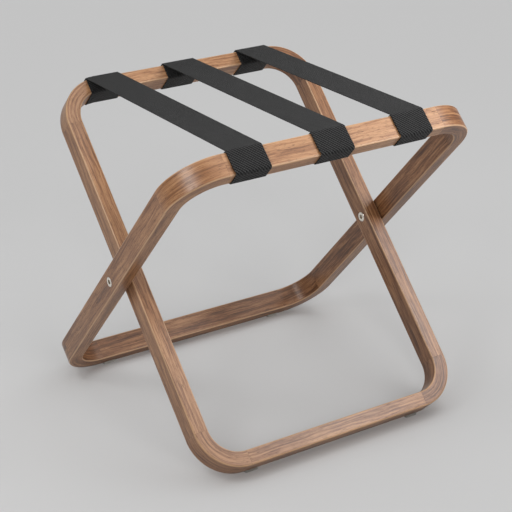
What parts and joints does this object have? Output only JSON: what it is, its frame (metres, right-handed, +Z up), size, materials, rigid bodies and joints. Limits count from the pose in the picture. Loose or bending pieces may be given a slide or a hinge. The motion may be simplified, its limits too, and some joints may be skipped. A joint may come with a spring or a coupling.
{
  "type": "folding luggage rack",
  "caption": "Folding X-frame luggage rack: two rounded wooden loops pinned at their legs, with taut webbing straps across the top.",
  "frame": {"origin": "on the floor under the middle of the open rack", "axes": "+X to the right along the rails, +Y to the back (towards the top rail of the inner loop), +Z up"},
  "size_m": [0.452, 0.4266, 0.4439],
  "materials": {
    "walnut": "satin oiled walnut, grain along each bar",
    "beech_dowel": "plain beech, hidden in the joints",
    "nickel_steel": "satin nickel plate",
    "nylon_washer": "matt",
    "glide_plastic": "milky, matt",
    "zinc_wire": "zinc plated",
    "webbing": "dense twill webbing"
  },
  "bodies": {
    "outer_frame": {"outer_top_rail": "walnut", "outer_bottom_rail": "walnut", "outer_left_leg": "walnut", "outer_right_leg": "walnut", "outer_top_left_corner": "walnut", "outer_top_right_corner": "walnut", "outer_bottom_left_corner": "walnut", "outer_bottom_right_corner": "walnut", "outer_corner_dowels": "beech_dowel", "left_pivot_screw": "nickel_steel", "right_pivot_screw": "nickel_steel", "left_pivot_sleeve_nut": "nickel_steel", "right_pivot_sleeve_nut": "nickel_steel", "left_pivot_washer": "nylon_washer", "right_pivot_washer": "nylon_washer", "outer_left_glide": "glide_plastic", "outer_right_glide": "glide_plastic", "outer_glide_nails": "zinc_wire", "left_strap_front_wrap": "webbing", "middle_strap_front_wrap": "webbing", "right_strap_front_wrap": "webbing", "front_strap_staples": "zinc_wire"},
    "inner_frame": {"inner_top_rail": "walnut", "inner_bottom_rail": "walnut", "inner_left_leg": "walnut", "inner_right_leg": "walnut", "inner_top_left_corner": "walnut", "inner_top_right_corner": "walnut", "inner_bottom_left_corner": "walnut", "inner_bottom_right_corner": "walnut", "inner_corner_dowels": "beech_dowel", "inner_left_glide": "glide_plastic", "inner_right_glide": "glide_plastic", "inner_glide_nails": "zinc_wire", "left_strap_back_wrap": "webbing", "middle_strap_back_wrap": "webbing", "right_strap_back_wrap": "webbing", "back_strap_staples": "zinc_wire"},
    "strap_fronts": {"left_strap_front_half": "webbing", "middle_strap_front_half": "webbing", "right_strap_front_half": "webbing"},
    "strap_backs": {"left_strap_back_half": "webbing", "middle_strap_back_half": "webbing", "right_strap_back_half": "webbing"}
  },
  "joints": [
    {"name": "fold", "type": "hinge", "parent": "outer_frame", "child": "inner_frame", "pos_m": [0, 0, 0.2225], "axis": [1, 0, 0], "range_deg": [0, 78], "deforming": ["left_strap_front_half", "middle_strap_front_half", "right_strap_front_half", "left_strap_back_half", "middle_strap_back_half", "right_strap_back_half"]},
    {"name": "front_strap_hang", "type": "hinge", "parent": "outer_frame", "child": "strap_fronts", "pos_m": [0, -0.18424, 0.44207], "axis": [1, 0, 0], "range_deg": [-50.15, 0]},
    {"name": "back_strap_hang", "type": "hinge", "parent": "inner_frame", "child": "strap_backs", "pos_m": [0, 0.18424, 0.44207], "axis": [1, 0, 0], "range_deg": [0, 50.15]}
  ],
  "couplings": [
    {"joint": "front_strap_hang", "follows": "fold", "ratio": -0.6417},
    {"joint": "back_strap_hang", "follows": "fold", "ratio": 0.6417}
  ]
}
